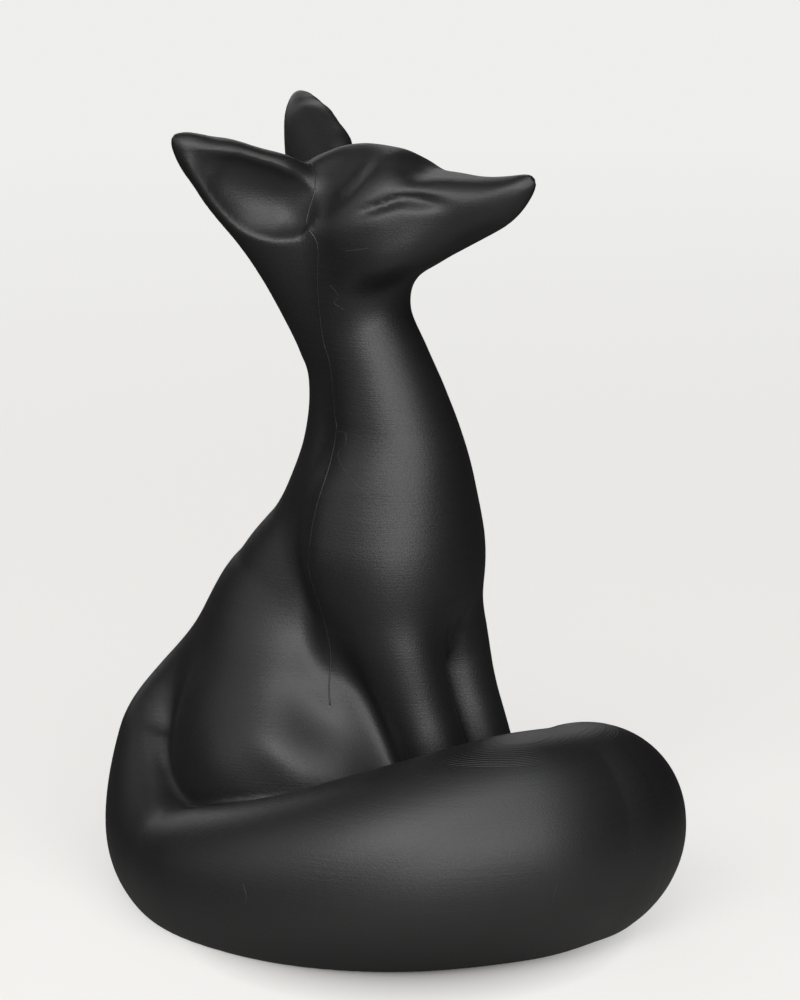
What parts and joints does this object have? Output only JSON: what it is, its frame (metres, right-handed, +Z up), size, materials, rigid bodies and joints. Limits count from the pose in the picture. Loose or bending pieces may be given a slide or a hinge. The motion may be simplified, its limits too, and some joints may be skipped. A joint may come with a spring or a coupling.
{
  "type": "fox sculpture",
  "caption": "Seated fox ornament with a raised head, closed eyes, a long neck and a thick tail wrapped round its side to the front, printed in black plastic to stand on a shelf.",
  "frame": {"origin": "on the floor in the fox's middle plane, below its chest", "axes": "+X the way the fox faces, +Y to its left, +Z up"},
  "size_m": [0.1183, 0.0855, 0.1543],
  "materials": {
    "black_plastic": "black satin filament print with fine horizontal layer lines"
  },
  "bodies": {
    "root": {"head": "black_plastic", "right_ear": "black_plastic", "left_ear": "black_plastic", "torso": "black_plastic", "right_foreleg": "black_plastic", "left_foreleg": "black_plastic", "right_haunch": "black_plastic", "left_haunch": "black_plastic", "tail": "black_plastic", "bottom_skin": "black_plastic", "body_infill": "black_plastic", "tail_infill": "black_plastic"}
  },
  "joints": []
}
